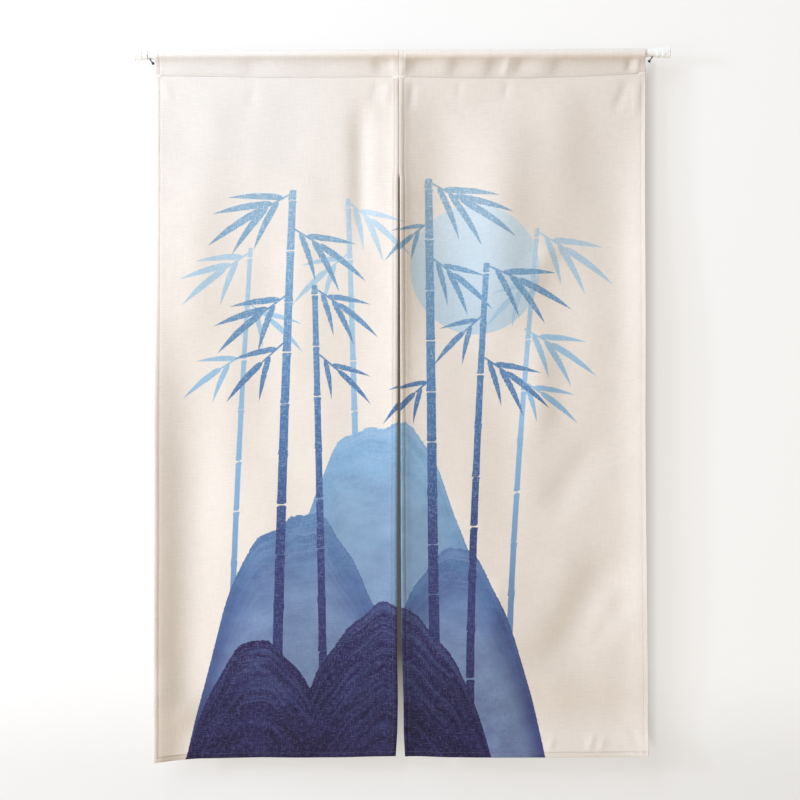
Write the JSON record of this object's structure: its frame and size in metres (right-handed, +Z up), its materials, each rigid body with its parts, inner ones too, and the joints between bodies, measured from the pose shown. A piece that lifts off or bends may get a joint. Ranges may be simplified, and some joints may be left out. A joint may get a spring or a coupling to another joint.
{
  "type": "noren curtain on a rod with wall nails",
  "caption": "Noren: two cloth panels, sewn together at the top and slit below, on a white rod that rests on wall nails.",
  "frame": {"origin": "on the wall plane, behind the middle of the rod and level with the rod's axis", "axes": "+X to the viewer's right along the rod, +Y back towards the wall, +Z up"},
  "size_m": [0.9302, 0.0514, 1.2386],
  "materials": {
    "linen": "matt plain weave with slubs, printed in graded blue",
    "white_lacquer": "satin white lacquer",
    "white_plastic": "moulded, satin",
    "dark_steel": "darkened, satin"
  },
  "bodies": {
    "root": {"left_panel": "linen", "right_panel": "linen", "rod_tube": "white_lacquer", "left_end_cap": "white_plastic", "right_end_cap": "white_plastic", "left_nail": "dark_steel", "right_nail": "dark_steel"}
  },
  "joints": []
}
